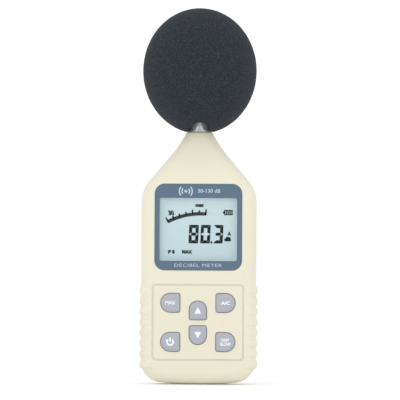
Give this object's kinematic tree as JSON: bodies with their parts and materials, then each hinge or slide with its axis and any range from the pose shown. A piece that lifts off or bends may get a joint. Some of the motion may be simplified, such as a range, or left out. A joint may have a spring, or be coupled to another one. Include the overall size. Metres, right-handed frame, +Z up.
{
  "type": "sound level meter",
  "caption": "Hand-held sound level meter: tapered two-shell case with a liquid-crystal display, D-shaped keys, a battery bay and a foam windscreen over a half-inch microphone.",
  "frame": {"origin": "middle of the bounding box on the plane that the foot stands on, under the microphone's axis", "axes": "+Z up along the microphone, -Y the way the display faces, +X to the right of the display as it is read"},
  "size_m": [0.0656, 0.0636, 0.2104],
  "materials": {
    "case_plastic": "fine satin moulded plastic",
    "label_plastic": "satin printed plate",
    "clear_window": "clear acrylic",
    "lcd_film": "satin film",
    "lcd_glass": "display glass",
    "black_plastic": "moulded",
    "white_plastic": "moulded",
    "blue_plastic": "moulded",
    "key_plastic": "satin",
    "silicone": "soft matte",
    "circuit_board": "solder mask",
    "steel": "plated",
    "chrome": "polished",
    "capsule_metal": "nickel",
    "aluminium": "satin",
    "brass": "turned",
    "battery_can": "printed jacket over the steel can",
    "wire_red": "insulated wire",
    "plate_print": "satin plate",
    "grey_foam": "foam strip",
    "foam": "open-cell foam"
  },
  "bodies": {
    "case": {"front_shell": "case_plastic", "rear_shell": "case_plastic", "case_screws": "steel", "label_frame": "label_plastic", "display_window": "clear_window", "lcd_polariser": "lcd_film", "lcd_front_glass": "lcd_glass", "lcd_rear_glass": "lcd_glass", "lcd_reflector": "lcd_film", "zebra_strips": "silicone", "lcd_holder": "black_plastic", "main_board": "circuit_board", "board_screws": "steel", "processor_chip": "black_plastic", "amplifier_chips": "black_plastic", "quartz_crystal": "steel", "capacitors": "aluminium", "chip_resistors": "black_plastic", "mic_connector": "white_plastic", "snap_domes": "steel", "key_mat": "silicone", "output_jack": "black_plastic", "power_inlet": "black_plastic", "trimmer_body": "blue_plastic", "battery_1": "battery_can", "battery_2": "battery_can", "battery_3": "battery_can", "battery_4": "battery_can", "contact_plates": "steel", "contact_springs": "steel", "battery_wires": "wire_red", "tripod_insert": "brass", "rear_plate": "plate_print", "mic_collar": "chrome", "mic_tube": "chrome", "mic_insulator": "white_plastic", "mic_capsule": "capsule_metal", "mic_grid": "chrome", "mic_wires": "wire_red"},
    "door": {"battery_door": "case_plastic", "door_latch": "case_plastic", "door_pad": "grey_foam"},
    "foam_screen": {"windscreen": "foam"},
    "trimmer": {"trimmer_rotor": "brass"},
    "key_max_cap": {"key_max": "key_plastic"},
    "key_weighting_cap": {"key_weighting": "key_plastic"},
    "key_up_cap": {"key_up": "key_plastic"},
    "key_down_cap": {"key_down": "key_plastic"},
    "key_power_cap": {"key_power": "key_plastic"},
    "key_response_cap": {"key_response": "key_plastic"}
  },
  "joints": [
    {"name": "key_max_press", "type": "slide", "parent": "case", "child": "key_max_cap", "axis": [0, 1, 0], "range_m": [0, 0.0008], "stiffness_N_per_m": 1500},
    {"name": "key_weighting_press", "type": "slide", "parent": "case", "child": "key_weighting_cap", "axis": [0, 1, 0], "range_m": [0, 0.0008], "stiffness_N_per_m": 1500},
    {"name": "key_up_press", "type": "slide", "parent": "case", "child": "key_up_cap", "axis": [0, 1, 0], "range_m": [0, 0.0008], "stiffness_N_per_m": 1500},
    {"name": "key_down_press", "type": "slide", "parent": "case", "child": "key_down_cap", "axis": [0, 1, 0], "range_m": [0, 0.0008], "stiffness_N_per_m": 1500},
    {"name": "key_power_press", "type": "slide", "parent": "case", "child": "key_power_cap", "axis": [0, 1, 0], "range_m": [0, 0.0008], "stiffness_N_per_m": 1500},
    {"name": "key_response_press", "type": "slide", "parent": "case", "child": "key_response_cap", "axis": [0, 1, 0], "range_m": [0, 0.0008], "stiffness_N_per_m": 1500},
    {"name": "battery_door_hinge", "type": "hinge", "parent": "case", "child": "door", "pos_m": [0, 0.01503, 0.012], "axis": [-1, 0, 0], "range_deg": [0, 90], "deforming": ["door_latch"]},
    {"name": "windscreen_pull", "type": "slide", "parent": "case", "child": "foam_screen", "axis": [0, 0, 1], "range_m": [0, 0.045]},
    {"name": "trimmer_turn", "type": "hinge", "parent": "case", "child": "trimmer", "pos_m": [-0.0284, -0.003, 0.099], "axis": [1, 0, 0], "range_deg": [-130, 130]}
  ]
}
